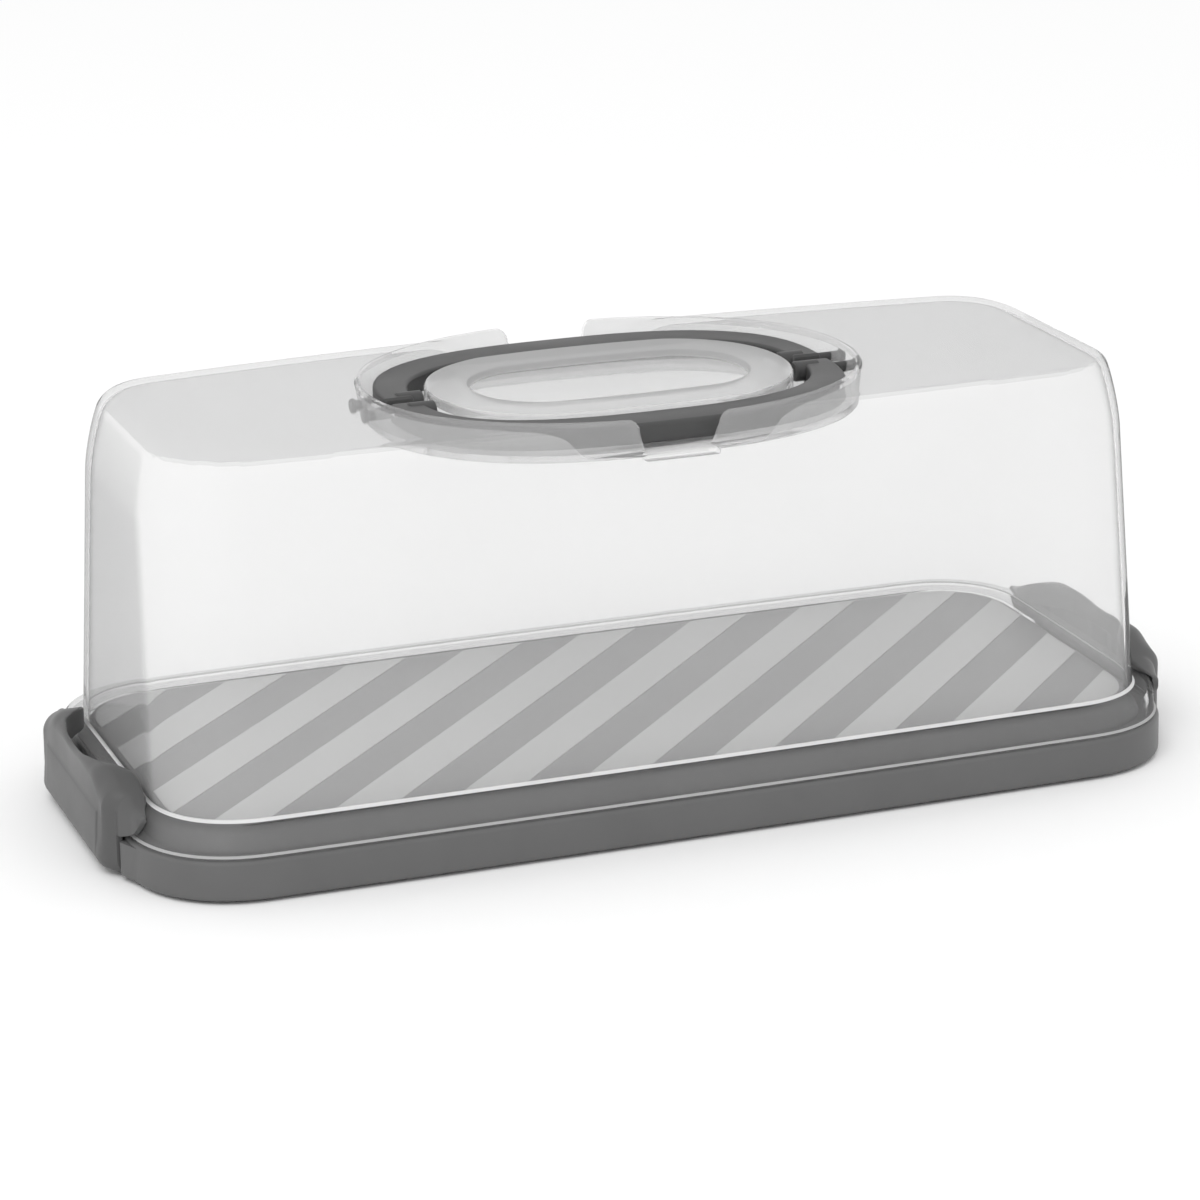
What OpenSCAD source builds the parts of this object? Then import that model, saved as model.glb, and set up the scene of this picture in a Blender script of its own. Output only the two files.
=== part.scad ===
// Loaf cake carrier: a striped tray, a clear lid that lifts off, two end
// clips that swing out on the tray, and two half-oval handles that fold up
// from a recess in the lid. Length runs along X, the front faces -Y and the
// origin is under the middle of the feet.

/* [Tray] */
// Length of the tray over its skirt, without the clips
tray_l = 357.6; // [340:0.2:380]
// Width of the tray at its corners
tray_w = 156; // [146:0.2:170]
// How far the long sides bow outwards
side_bow = 1.4; // [0.4:0.1:2.2]
// Radius of the tray's corners in plan
corner_r = 38; // [36:0.5:41]
// Height of the skirt from its lower edge to the ledge
skirt_h = 12.9; // [12.6:0.1:14]
// Width of the ledge that the lid stands on
ledge_w = 6.8; // [6.4:0.1:7.6]
// Height of the raised floor above the ledge
floor_rise = 7.7; // [7:0.1:8.2]
// How far the floor's side leans in from the ledge to the floor
floor_lean = 5.6; // [5:0.1:6.4]
// Wall thickness of the tray
tray_t = 2.2; // [1.8:0.1:2.4]
// Rounding of the skirt's edges
skirt_round = 0.9; // [0.4:0.1:1.2]

/* [Stripes] */
// Width of one diagonal stripe
stripe_w = 15; // [12:0.5:20]
// Thickness of the printed stripes
stripe_t = 0.2; // [0.1:0.05:0.3]
// Margin from the floor's edge to the print
stripe_margin = 1; // [0.6:0.1:3]

/* [Feet] */
// Height that the feet stand below the skirt
foot_h = 1.2; // [1.2:0.1:2]
// Radius of a foot's pad
foot_r = 5; // [4:0.1:5.4]
// Radius of the stem that holds a foot
foot_stem_r = 2; // [1.5:0.1:2.4]
// Length of the stem
foot_stem_h = 4; // [3:0.1:6]

/* [Lid] */
// Height of the lid from its lower edge to the flat of its top
lid_h = 120.4; // [112:0.2:150]
// Wall thickness of the lid
lid_t = 2; // [1.7:0.1:2.2]
// Height of the skirt below the lid's wall
lid_skirt_h = 9.2; // [8.8:0.1:9.6]
// Width of the step between the lid's wall and its skirt
lid_step = 6.3; // [5.8:0.1:6.8]
// How far the skirt stands in from the tray's edge
lid_inset = 1.7; // [1.6:0.1:2.2]
// How far each end wall leans in over its height
end_lean = 2.7; // [1:0.1:5]
// How far each end wall rolls over into the top
end_roll = 5.2; // [2:0.1:8]
// Height over which the end walls roll over
end_roll_h = 23.4; // [12:0.2:30]
// How far each long wall leans in at the lid's corners
side_lean = 17; // [14:0.2:18]
// How far the long sides of the top bow outwards
top_bow = 7; // [5:0.1:8]
// Radius of the top's corners in plan
top_r = 27; // [22:0.5:31]
// Rise of the top at its middle
top_crown = 0.9; // [0.2:0.1:1.2]

/* [Recess] */
// Length of the oval recess at its rim
recess_l = 165; // [163:0.2:172]
// Width of the oval recess at its rim
recess_w = 124; // [123:0.2:128]
// Depth of the recess below the flat of the top
recess_d = 9.8; // [9.6:0.1:10.6]
// How far the wall of the recess leans in towards its floor
recess_lean = 2.4; // [2:0.1:2.6]
// How far the rim stands above the flat of the top
rim_h = 1.6; // [1:0.1:2]
// Width of the finger notches in the rim at the floor of the recess
notch_w = 23; // [18:0.5:30]
// How much wider each side of a notch is at the rim
notch_flare = 4; // [2:0.1:6]

/* [Island] */
// Width of the island's flat border
border_w = 14.4; // [10:0.2:18]
// Depth of the pan inside the border
pan_d = 2.4; // [1.5:0.1:4]
// Height of the island above the floor of the recess
island_h = 8.9; // [8:0.1:9.2]

/* [Handles] */
// Clearance from the ends of the handles to the wall of the recess
end_clear = 3.6; // [3:0.1:4.6]
// Clearance from the front and back of the handles to that wall
side_clear = 4.1; // [3.4:0.1:5]
// Clearance from the ends of the handles to the island
island_end_clear = 4.6; // [3.6:0.1:6]
// Clearance from the front and back of the handles to the island
island_side_clear = 1.7; // [1.4:0.1:3]
// Width of a handle's bar at the front and back
bar_w = 14; // [12:0.1:14.2]
// Width of a handle's bar at its ends
bar_end_w = 10.4; // [9:0.1:11]
// Thickness of a handle's bar
bar_t = 6.6; // [5.5:0.1:6.8]
// Distance of each handle's pivot from the middle line
pivot_y = 6.5; // [6:0.1:8]
// Height of the pivots above the underside of the bars
pivot_rise = 3.9; // [3.5:0.1:4]
// How far a handle reaches past its pivot
bar_tail = 4.2; // [3.8:0.1:4.4]
// Radius of the handles' pivot pins
pivot_r = 1.8; // [1.4:0.1:2]
// Radius of the heads that keep the pins in the lid
pivot_head_r = 2.5; // [2.3:0.1:2.8]
// Radius of the boss on the inner side of each pivot
boss_r = 3.4; // [3:0.1:3.8]

/* [Clips] */
// How far a clip's hinge reaches past each end of the straight part of the tray's end
clip_past = 2; // [1:0.25:2.5]
// Length of a clip's lobes that reach round the tray's corners
lobe_l = 12.5; // [11.5:0.25:13]
// How far from its lobes a clip's top starts to fall
shoulder_l = 16; // [12:0.5:18]
// How far a clip's top falls towards the tips of its lobes
lobe_drop = 8.2; // [7.4:0.1:8.2]
// How far a clip stands out from the tray's end
clip_out = 7.4; // [7:0.1:7.6]
// How far a clip stands out beside the ends of its hinge
clip_seam = 2.4; // [2.2:0.1:2.8]
// How far the lobes of a clip stand out round the tray's corners
lobe_out = 0.8; // [0.6:0.1:1.4]
// Height of a clip's top above the ledge
clip_rise = 18.4; // [17.4:0.1:21]
// Wall thickness of a clip
clip_t = 2; // [1.8:0.1:2.2]
// How far a clip's outer face leans in towards its top
clip_lean = 1.2; // [0.8:0.1:2]
// Width of the finger gap in the middle of a clip
finger_w = 48; // [40:0.5:50]
// How far a clip's top dips in that gap
gap_dip = 2; // [1:0.1:2.4]
// How far the hooks reach in from the tray's edge
hook_reach = 7; // [6.6:0.1:7.8]
// Radius of a clip's hinge pins
hinge_r = 1.4; // [1.2:0.1:1.5]
// Half thickness of the blocks that carry the hinge pins
block_r = 2.2; // [2:0.05:2.4]
// Length of those blocks
block_l = 9; // [7:0.5:12]
// Height of the hinge above the skirt's lower edge
hinge_rise = 7.4; // [7.2:0.1:7.5]
// How far the hinge lies in from the tray's edge
hinge_in = 0.4; // [0.3:0.1:0.6]
// Length of each hinge pin
hinge_pin_l = 3.4; // [2.5:0.1:4]
// How far the bands beside a clip stand out from the tray's edge
band_out = 2; // [1.9:0.1:2.2]

/* [Fits] */
// Gap between parts that move past each other
gap = 0.4; // [0.3:0.05:0.5]
// Gap below a part that rests on another
seat = 0.3; // [0.25:0.05:0.35]
// Radial clearance of the pins in their bores
pin_play = 0.06; // [0.03:0.01:0.1]

/* [Hidden] */

eps = 0.01;
arc_steps = 8;        // flats in a quarter turn of an outline
oval_steps = 72;      // flats round an oval
round_fn = 32;

// Heights of the tray
skirt_z = foot_h;
ledge_z = skirt_z + skirt_h;
floor_z = ledge_z + floor_rise;

// Half sizes of the tray's outlines
tray_a = tray_l / 2;
tray_b = tray_w / 2;
foot_wall = ledge_w;                  // from the skirt in to the floor's side
floor_in = foot_wall + floor_lean;    // from the skirt in to the floor's edge
clip_w = tray_w - 2 * corner_r + 2 * clip_past;
window_w = clip_w + 2 * gap;          // opening in each end of the skirt

// Heights and half sizes of the lid
lid_z = ledge_z + seat;
step_z = lid_z + lid_skirt_h;
top_z = lid_z + lid_h;
lid_draft = 0.8;                      // the skirt widens this much to its foot
wall_in = lid_inset + lid_draft + lid_step;
wall_a = tray_a - wall_in;
wall_b = tray_b - wall_in;

// Heights of the recess and what is in it
rim_z = top_z + rim_h;
basin_z = top_z - recess_d;
island_z = basin_z + island_h;
bar_z = basin_z + 1.2;
pivot_z = bar_z + pivot_rise;
rim_t = 1.8;                          // thickness of the recess wall
basin_power = 2.4;                    // squareness of the recess at its floor
oval_power = 2.15;                    // squareness of the recess at its rim
bar_power = 2.7;                      // squareness of the handles
island_power = 2.64;                  // squareness of the island
pan_power = 2.84;                     // squareness of the pan

// Lengths and widths of the oval that the two handles form, and of the island
handle_l = recess_l - 2 * (recess_lean + end_clear);
handle_w = recess_w - 2 * (recess_lean + side_clear);
island_l = handle_l - 2 * (bar_end_w + island_end_clear);
island_w = handle_w - 2 * (bar_w + island_side_clear);

// Places of the handles' pivots along X
bar_a = handle_l / 2;
bar_b = handle_w / 2;
pin_end = recess_l / 2 + rim_t + 2.2;
head_l = 1.6;
boss_end = island_l / 2 + 0.9;

// Places of the clips
hinge_x = tray_a - hinge_in;
hinge_z = skirt_z + hinge_rise;
clip_top = ledge_z + clip_rise;
hook_z = step_z + seat;
clip_foot = skirt_z + 0.3;            // height of a clip's lower edge
toe_r = 4.6;                          // rounding of that edge
brow_r = 4.4;                         // rounding of a clip's upper edge
lobe_r = 7;                           // rounding of its lobes
clip_end = clip_w / 2 + lobe_l;
clip_span = 2 * clip_end;
clip_shoulder = clip_w / 2 - shoulder_l;

function sgn(v) = v < 0 ? -1 : 1;
function lerp(a, b, t) = a + (b - a) * t;
function ease(t) = let (k = min(1, max(0, t))) k * k * (3 - 2 * k);

// Quarter of a rounded rectangle, from its end to the middle of its long side
function quarter(a, b, r) = concat(
    [for (i = [0:arc_steps]) let (w = 90 * i / arc_steps)
        [a - r + r * cos(w), b - r + r * sin(w)]],
    [[(a - r) * 0.66, b], [(a - r) * 0.33, b]]);

// Lets the long sides of an outline bow outwards
function bowed(p, a, bow) = [p[0], p[1] + sgn(p[1]) * bow * (1 - pow(p[0] / a, 2))];

// Whole outline: half length a, half width b at the corners, radius r
function outline(a, b, r, bow) =
    let (q = quarter(a, b, r), n = len(q))
    [for (p = concat(
        q,
        [[0, b]],
        [for (i = [n - 1:-1:0]) [-q[i][0], q[i][1]]],
        [for (i = [0:n - 1]) [-q[i][0], -q[i][1]]],
        [[0, -b]],
        [for (i = [n - 1:-1:0]) [q[i][0], -q[i][1]]]))
        bowed(p, a, bow)];

// Outline that lies a given distance inside the tray's edge
function inside(d) = outline(tray_a - d, tray_b - d, corner_r - d, side_bow);

// Oval between an ellipse and a rectangle
function oval_point(a, b, power, w) =
    [a * sgn(cos(w)) * pow(abs(cos(w)), 2 / power),
     b * sgn(sin(w)) * pow(abs(sin(w)), 2 / power)];
function oval(a, b, power) =
    [for (i = [0:oval_steps - 1]) oval_point(a, b, power, 360 * i / oval_steps)];

module slab(points, z0, z1) {
    translate([0, 0, z0]) linear_extrude(z1 - z0) polygon(points);
}

// Thin slice, for hulls
module slice(points, z) {
    slab(points, z, z + eps);
}

// ---------------------------------------------------------------- tray

module skirt_body() {
    hull() {
        slice(inside(skirt_round), skirt_z);
        slice(inside(0), skirt_z + skirt_round);
        slice(inside(0.2), ledge_z - skirt_round);
        slice(inside(0.2 + skirt_round), ledge_z - eps);
    }
}

module floor_body(in, z0, z1) {
    hull() {
        slice(inside(foot_wall + in), z0);
        slice(inside(foot_wall + in + floor_lean * 0.55), z1 - 1.4);
        slice(inside(floor_in + in), z1 - eps);
    }
}

// Window in an end of the skirt that the clip's lower edge swings through
module clip_window() {
    translate([tray_a - foot_wall - tray_t, -window_w / 2, skirt_z - 1])
        cube([foot_wall + tray_t + 2, window_w, ledge_z - tray_t - skirt_z + 1]);
}

// Block behind the skirt that holds one hinge pin of a clip
module hinge_cheek() {
    cheek_l = hinge_pin_l + 2.6;
    translate([tray_a - 8, window_w / 2, skirt_z + 0.6])
        cube([7, cheek_l, ledge_z - skirt_z - 1.6]);
    // band outside the skirt that covers the pin beside the clip
    x = tray_a + band_out;
    y = window_w / 2 + 0.1;
    slab([[tray_a - 4, y], [x - 0.5, y], [x, y + 0.5], [x, y + 1.6], [x - 1.2, y + 4.2],
          [x - 3.2, y + 8.8], [x - 5, y + 11.6], [tray_a - 6, y + 11.6]],
         skirt_z + 0.8, ledge_z - 1.2);
}

module hinge_bore() {
    translate([hinge_x, window_w / 2 - eps, hinge_z]) rotate([-90, 0, 0])
        cylinder(h = hinge_pin_l + 0.4, r = hinge_r + pin_play, $fn = round_fn);
}

function foot_place() =
    let (w = 63.8, d = corner_r - tray_t - foot_r - 0.2)
    [tray_a - corner_r + d * cos(w), tray_b - corner_r + d * sin(w)];

module foot_boss() {
    translate([foot_place()[0], foot_place()[1], skirt_z + 1])
        cylinder(h = ledge_z - skirt_z - 2, r = foot_r + 1, $fn = round_fn);
}

module foot_socket() {
    translate([foot_place()[0], foot_place()[1], skirt_z])
        cylinder(h = foot_stem_h + 1.4, r = foot_stem_r + pin_play, $fn = round_fn);
}

module at_corners() {
    for (sx = [0, 1], sy = [0, 1])
        mirror([sx, 0, 0]) mirror([0, sy, 0]) children();
}

module at_ends() {
    for (s = [0, 1]) mirror([s, 0, 0]) children();
}

module tray() {
    color("#6f7072")
    difference() {
        union() {
            difference() {
                union() {
                    skirt_body();
                    floor_body(0, ledge_z - 1, floor_z);
                }
                slab(inside(tray_t), skirt_z - 1, ledge_z - tray_t);
                floor_body(tray_t, ledge_z - tray_t - 1, floor_z - tray_t);
                at_ends() clip_window();
            }
            at_corners() hinge_cheek();
            at_corners() foot_boss();
        }
        at_corners() hinge_bore();
        at_corners() foot_socket();
    }
}

module floor_stripes() {
    pitch = 2 * stripe_w;
    reach = ceil((tray_l + tray_w) / pitch / 2);
    color("#a4a5a7")
    intersection() {
        slab(inside(floor_in + stripe_margin), floor_z, floor_z + stripe_t);
        for (i = [-reach:reach])
            rotate([0, 0, 45]) translate([-tray_l, i * pitch - stripe_w / 2, floor_z])
                cube([2 * tray_l, stripe_w, stripe_t]);
    }
}

module foot() {
    color("#3a3a3c")
    translate([foot_place()[0], foot_place()[1], 0]) {
        cylinder(h = skirt_z + 1, r = foot_r, $fn = round_fn);
        cylinder(h = skirt_z + 1 + foot_stem_h, r = foot_stem_r, $fn = round_fn);
    }
}

// ---------------------------------------------------------------- lid

// Outline of the lid's wall at a height, t inside its outer face
function wall_outline(z, t) =
    let (u = (z - step_z) / (top_z - step_z),
         k = min(1, max(0, (z - top_z + end_roll_h) / end_roll_h)),
         roll = 1 - pow(1 - pow(k, 1.45), 1 / 1.45),
         crease = 1 - pow(1 - pow(k, 8), 1 / 8),
         a = wall_a - end_lean * u - end_roll * roll,
         b = wall_b - side_lean * u - 1.2 * crease)
    outline(a - t, b - t, lerp(corner_r - wall_in, top_r, u) - t,
            lerp(side_bow, top_bow, u));

// Solid inside the lid's wall, offset inwards by t, closed at height z1
module dome_body(t, z0, drop) {
    rolls = [0, 0.2, 0.4, 0.6, 0.75, 0.87, 0.95, 1];
    hull() {
        slice(wall_outline(z0, t), z0);
        for (k = rolls) let (z = top_z - end_roll_h * (1 - k))
            slice(wall_outline(z, t), z - drop);
        // crown of the top
        slice(oval(recess_l / 2 + 20 - t, recess_w / 2 - 12 - t, 2.4),
              top_z + top_crown - drop);
    }
}

// Outline of the recess at a height, t outside its inner face
function recess_outline(z, t) =
    let (u = (rim_z - z) / (rim_z - basin_z))
    oval(recess_l / 2 - recess_lean * u + t, recess_w / 2 - recess_lean * u + t,
         lerp(oval_power, basin_power, u));

module recess_body(t, z0, z1) {
    hull() {
        slice(recess_outline(z0, t), z0);
        slice(recess_outline(z1, t), z1 - eps);
    }
}

// Finger notch: a wedge with rounded upper corners, cut through the rim
module notch() {
    h = rim_z - basin_z + 0.5;
    w0 = notch_w / 2;
    w1 = w0 + notch_flare;
    half = [for (i = [0:6]) let (t = i / 6) [lerp(w0, w1, pow(t, 3)), h * t]];
    translate([0, recess_w / 2 + 12, basin_z]) rotate([90, 0, 0])
        linear_extrude(24)
            polygon(concat(half, [for (i = [6:-1:0]) [-half[i][0], half[i][1]]]));
}

// Sill of a notch, which stands out a little past the wall of the recess
module notch_sill() {
    w = notch_w / 2 + 1.2;
    translate([-w, recess_w / 2 - 8, basin_z - lid_t])
        cube([2 * w, 8 + rim_t + 1.6, lid_t]);
}

module front_and_back() {
    for (s = [0, 1]) mirror([0, s, 0]) children();
}

module lid_skirt() {
    foot = inside(lid_inset);
    difference() {
        hull() {
            slice(foot, lid_z);
            slice(inside(lid_inset + lid_draft), step_z - 0.8);
            slice(inside(lid_inset + lid_draft + 0.8), step_z - eps);
        }
        slab(inside(lid_inset + lid_draft + 1.8), lid_z - 1, step_z - lid_t);
        slab(inside(wall_in + lid_t), lid_z, step_z + 1);
    }
}

module island_body() {
    a = island_l / 2;
    b = island_w / 2;
    slab(oval(a, b, island_power), basin_z - lid_t, island_z - 0.5);
    slab(oval(a - 0.5, b - 0.5, island_power), island_z - 0.5 - eps, island_z);
}

module lid() {
    pan_a = island_l / 2 - border_w;
    pan_b = island_w / 2 - border_w - 1;
    color("#e4e7e9", 0.35)
    difference() {
        union() {
            difference() {
                dome_body(0, step_z - lid_t, 0);
                dome_body(lid_t, step_z - lid_t - 1, lid_t);
            }
            lid_skirt();
            recess_body(rim_t, basin_z - lid_t, rim_z);
            front_and_back() notch_sill();
            island_body();
        }
        // open recess above its floor, with the island left standing
        difference() {
            recess_body(0, basin_z, rim_z + 1);
            island_body();
        }
        front_and_back() notch();
        slab(oval(pan_a, pan_b, pan_power), island_z - pan_d, island_z + 1);
        // hollow under the island
        slab(oval(island_l / 2 - lid_t, island_w / 2 - lid_t, island_power),
             basin_z - lid_t - 1, island_z - pan_d - lid_t);
        at_corners()
            translate([island_l / 2 + 6, pivot_y, pivot_z]) rotate([0, 90, 0])
                cylinder(h = 30, r = pivot_r + pin_play, $fn = round_fn);
    }
}

// ---------------------------------------------------------------- handles

// Plan of both bars, drawn in by d on every side
module bar_plan(d) {
    difference() {
        polygon(oval(bar_a - d, bar_b - d, bar_power));
        polygon(oval(bar_a - bar_end_w + d, bar_b - bar_w + d, bar_power));
    }
}

// Keeps the back half, with ends rounded about the pivots
module back_half() {
    intersection() {
        children();
        union() {
            translate([-handle_l, pivot_y, bar_z - 1])
                cube([2 * handle_l, handle_w, bar_t + 2]);
            translate([-handle_l, pivot_y, pivot_z]) rotate([0, 90, 0])
                cylinder(h = 2 * handle_l, r = bar_tail, $fn = round_fn);
        }
    }
}

module handle() {
    color("#5d5e60") {
        back_half() {
            translate([0, 0, bar_z]) linear_extrude(bar_t - 1.4) bar_plan(0);
            translate([0, 0, bar_z + bar_t - 1.4]) linear_extrude(0.8) bar_plan(0.4);
            translate([0, 0, bar_z + bar_t - 0.6]) linear_extrude(0.6) bar_plan(1.1);
        }
        at_ends() {
            translate([bar_a - 3, pivot_y, pivot_z]) rotate([0, 90, 0])
                cylinder(h = pin_end - bar_a + 3, r = pivot_r, $fn = round_fn);
            translate([pin_end - head_l, pivot_y, pivot_z]) rotate([0, 90, 0])
                cylinder(h = head_l, r = pivot_head_r, $fn = round_fn);
            translate([boss_end, pivot_y, pivot_z]) rotate([0, 90, 0])
                cylinder(h = bar_a - bar_end_w / 2 - boss_end, r = boss_r,
                         $fn = round_fn);
        }
    }
}

module handle_back() {
    handle();
}

module handle_front() {
    mirror([0, 1, 0]) handle();
}

// ---------------------------------------------------------------- clips

// Point on the tray's edge at a given y, moved outwards by d
function edge_x(y, d) =
    let (c = tray_b - corner_r, v = abs(y) - c, r = corner_r + d)
    v <= 0 ? tray_a + d
           : tray_a - corner_r + sqrt(max(0, r * r - v * v));

// How far a clip's outer face stands out from the tray's edge at a given y
function clip_offset(y) =
    let (v = abs(y), seam = min(1, max(0, (v - clip_w / 2 + 9) / 9)),
         lobe = ease((v - clip_w / 2) / 8))
    lerp(lerp(clip_out, clip_seam, pow(seam, 3)), lobe_out, lobe);

// Where a clip's top edge starts to roll over, and how high its top is
function clip_face(y) = min(edge_x(y, clip_offset(y)), tray_a + clip_out - clip_lean);
function clip_height(y) =
    clip_top - gap_dip * (1 - ease((abs(y) - 2) / 18))
        - lobe_drop * ease((abs(y) - clip_shoulder) / (clip_end - clip_shoulder));
function clip_roll(y) =
    min(lerp(0.45, 1, ease((abs(y) - 6) / 16)) * lerp(brow_r, lobe_r, ease((abs(y) - 24) / 10)),
        max(1.4, clip_height(y) - hook_z + clip_t));

// Inner edge of the hooks, as a distance from the tray's edge
function hook_d(y) =
    lerp(clip_out - clip_lean - clip_t + 0.1 - 1.1 * ease((abs(y) - 10) / 8),
         -hook_reach, ease((abs(y) - finger_w / 2 + 7) / 19))
        + (hook_reach - 1.2) * max(0, (abs(y) - clip_w / 2 - 1) / (lobe_l - 1));

// Stations along a clip
half_line = [for (v = [5, 10, 13.5, 17, 20.5, 24.5, 27, 29.5, 32, 34.5, 36.6, 38.6, 40.3,
                       41.6, 43.4, 45.4, 47.3, 49.2, 51, 52.6]) v * clip_end / 54.5];
clip_line = concat([-clip_end, 0.7 - clip_end],
                   [for (i = [len(half_line) - 1:-1:0]) -half_line[i]], [0], half_line,
                   [clip_end - 0.7, clip_end]);
crown_line = [for (i = [0:len(clip_line) - 2]) (clip_line[i] + clip_line[i + 1]) / 2];

// Plan from the hooks, or from far inside the tray, out to t inside the outer face
module clip_plan(hooked, t, z0, z1) {
    n = len(clip_line);
    slab(concat(
        [for (y = clip_line) [hooked ? edge_x(y, hook_d(y) + t) : tray_a - 45, y]],
        [for (i = [n - 1:-1:0]) let (y = clip_line[i])
            [edge_x(y, clip_offset(y) - t), y]]), z0, z1);
}

// Side profile [x, z] drawn along Y
module clip_profile(points) {
    translate([0, clip_span, 0]) rotate([90, 0, 0]) linear_extrude(2 * clip_span)
        polygon(points);
}

// Everything below the clip's rolled top, t inside its outer face; each prism
// leans by w and is drawn across its own direction
module clip_crown(t) {
    side = clip_end + 2;
    intersection_for(w = [0, 22.5, 45, 67.5])
        rotate([0, w, 0]) rotate([90, 0, 90]) linear_extrude(300)
            polygon(concat([[-side, -60]],
                [for (y = concat([-side], crown_line, [side]))
                    [y, (clip_face(y) - clip_roll(y)) * sin(w)
                        + (clip_height(y) - clip_roll(y)) * cos(w) + clip_roll(y) - t]],
                [[side, -60]]));
}

// Front view [y, z] of a clip below its crown, with lobes that stop above the ledge
module clip_elevation() {
    low = ledge_z + gap + 0.2;
    half = [[clip_w / 2, clip_foot - 1], [clip_w / 2, low], [clip_w / 2 + 3, low + 0.5],
            [clip_end - 6.5, low + 1.6], [clip_end - 4, low + 2.9],
            [clip_end - 1.9, low + 4.7], [clip_end - 0.5, low + 7],
            [clip_end - 0.2, clip_top + 1]];
    n = len(half);
    translate([tray_a - 40, 0, 0]) rotate([90, 0, 90]) linear_extrude(80)
        polygon(concat(half, [for (i = [n - 1:-1:0]) [-half[i][0], half[i][1]]]));
}

module clip() {
    x = tray_a + clip_out;
    back = tray_a - 30;
    outer = concat([[back, clip_foot]],
        [for (w = [0:15:90])
            [x - toe_r * (1 - sin(w)), clip_foot + toe_r * (1 - cos(w))]],
        [[x - clip_lean, clip_top - brow_r], [x - clip_lean, clip_top + 1],
         [back, clip_top + 1]]);
    inner = [[back, clip_foot - 5], [x - toe_r, clip_foot - 5],
             [x - toe_r, clip_foot + clip_t], [x - clip_t, clip_foot + toe_r + 1.6],
             [x - clip_lean - clip_t, clip_top - brow_r],
             [x - clip_lean - clip_t, clip_top + 2], [back, clip_top + 2]];
    color("#6f7072") {
        difference() {
            intersection() {
                clip_plan(true, 0, clip_foot - 1, clip_top + 1);
                clip_profile(outer);
                clip_crown(0);
                clip_elevation();
            }
            intersection() {
                clip_plan(false, clip_t, clip_foot - 8, hook_z);
                clip_profile(inner);
            }
            intersection() {
                clip_plan(true, clip_t, hook_z - 1, clip_top);
                clip_profile(inner);
                clip_crown(clip_t);
            }
        }
        for (s = [0, 1]) mirror([0, s, 0]) {
            // hinge block, with a pin that stands out of it
            intersection() {
                clip_plan(true, 0.7, clip_foot, hook_z);
                translate([hinge_x - block_r, clip_w / 2 - gap - block_l,
                           hinge_z - block_r])
                    cube([clip_out, block_l, 2 * block_r]);
            }
            translate([hinge_x, clip_w / 2 - gap - block_l / 2, hinge_z])
                rotate([-90, 0, 0])
                    cylinder(h = block_l / 2 + gap + hinge_pin_l, r = hinge_r,
                             $fn = round_fn);
        }
    }
}

module clip_right() {
    clip();
}

module clip_left() {
    mirror([1, 0, 0]) clip();
}

tray();
floor_stripes();
mirror([1, 0, 0]) mirror([0, 1, 0]) foot();  // foot_front_left
mirror([0, 1, 0]) foot();  // foot_front_right
mirror([1, 0, 0]) foot();  // foot_back_left
foot();  // foot_back_right
lid();
handle_front();
handle_back();
clip_left();
clip_right();
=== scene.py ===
"""Looks of the loaf cake carrier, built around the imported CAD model. Lengths are in
millimetres until a mesh is made; the length runs along X and the front faces -Y."""

import math

import bmesh
import bpy
import numpy as np
from mathutils import Matrix


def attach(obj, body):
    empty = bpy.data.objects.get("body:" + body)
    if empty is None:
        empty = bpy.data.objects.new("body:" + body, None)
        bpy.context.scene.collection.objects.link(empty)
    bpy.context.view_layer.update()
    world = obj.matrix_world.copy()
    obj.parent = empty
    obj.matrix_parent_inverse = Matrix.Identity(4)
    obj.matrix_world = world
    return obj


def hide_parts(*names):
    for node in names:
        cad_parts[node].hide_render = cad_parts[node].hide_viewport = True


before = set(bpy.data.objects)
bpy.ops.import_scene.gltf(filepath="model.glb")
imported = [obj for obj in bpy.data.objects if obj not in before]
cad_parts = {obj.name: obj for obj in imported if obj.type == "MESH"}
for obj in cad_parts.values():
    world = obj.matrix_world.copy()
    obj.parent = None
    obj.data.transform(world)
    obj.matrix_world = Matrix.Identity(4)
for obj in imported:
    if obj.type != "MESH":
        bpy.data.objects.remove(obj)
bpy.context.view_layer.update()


MM = 0.001
SCENE = bpy.context.scene

# Heights in the rest pose, as in the CAD model
FOOT_H = 1.2
LEDGE_Z = 14.1          # tray's ledge, under the lid's flange
FLOOR_Z = 21.8          # tray's floor
LID_Z = 14.4            # lower edge of the lid's flange
STEP_Z = 23.6           # top of the flange, where the lid's wall stands
TOP_Z = 134.8           # edge of the lid's top
RIM_Z = 136.35          # rim round the recess
BASIN_Z = 125.0         # floor of the recess
ISLAND_Z = 133.9        # top of the island in the recess
BAR_Z = 126.2           # underside of the handles
PIVOT_Y, PIVOT_Z = 6.5, 130.1       # axes of the handles' pins
HINGE_X, HINGE_Z = 178.4, 8.6       # axes of the clips' pins

# Tray: half sizes, corner radius, bow of the long sides, wall
TRAY_A, TRAY_B, TRAY_R, SIDE_BOW, TRAY_WALL = 178.8, 77.9, 38.2, 1.4, 2.2
SQUARE = 0.9                        # how full the rounded corners are
CORNER_R, CORNER_Y = 38.0, 40.0     # arc that a corner nearly follows, and its centre
END_STEPS, CORNER_STEPS, SIDE_STEPS = 6, 18, 26
CORNERS = [(sx, sy) for sx in (-1, 1) for sy in (-1, 1)]
WINDOW_X, WINDOW_HALF = (169.8, 181.0), 42.4
CHEEK_X, CHEEK_END = (170.8, 177.8), 48.4
BAND = [(174.8, 42.5), (180.0, 42.5), (180.5, 42.8), (180.7, 43.4), (180.5, 44.4),
        (180.0, 45.6), (178.8, 48.4), (177.4, 51.2), (175.8, 54.0), (172.8, 54.0)]
BAND_Z = (2.0, 12.9)

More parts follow.
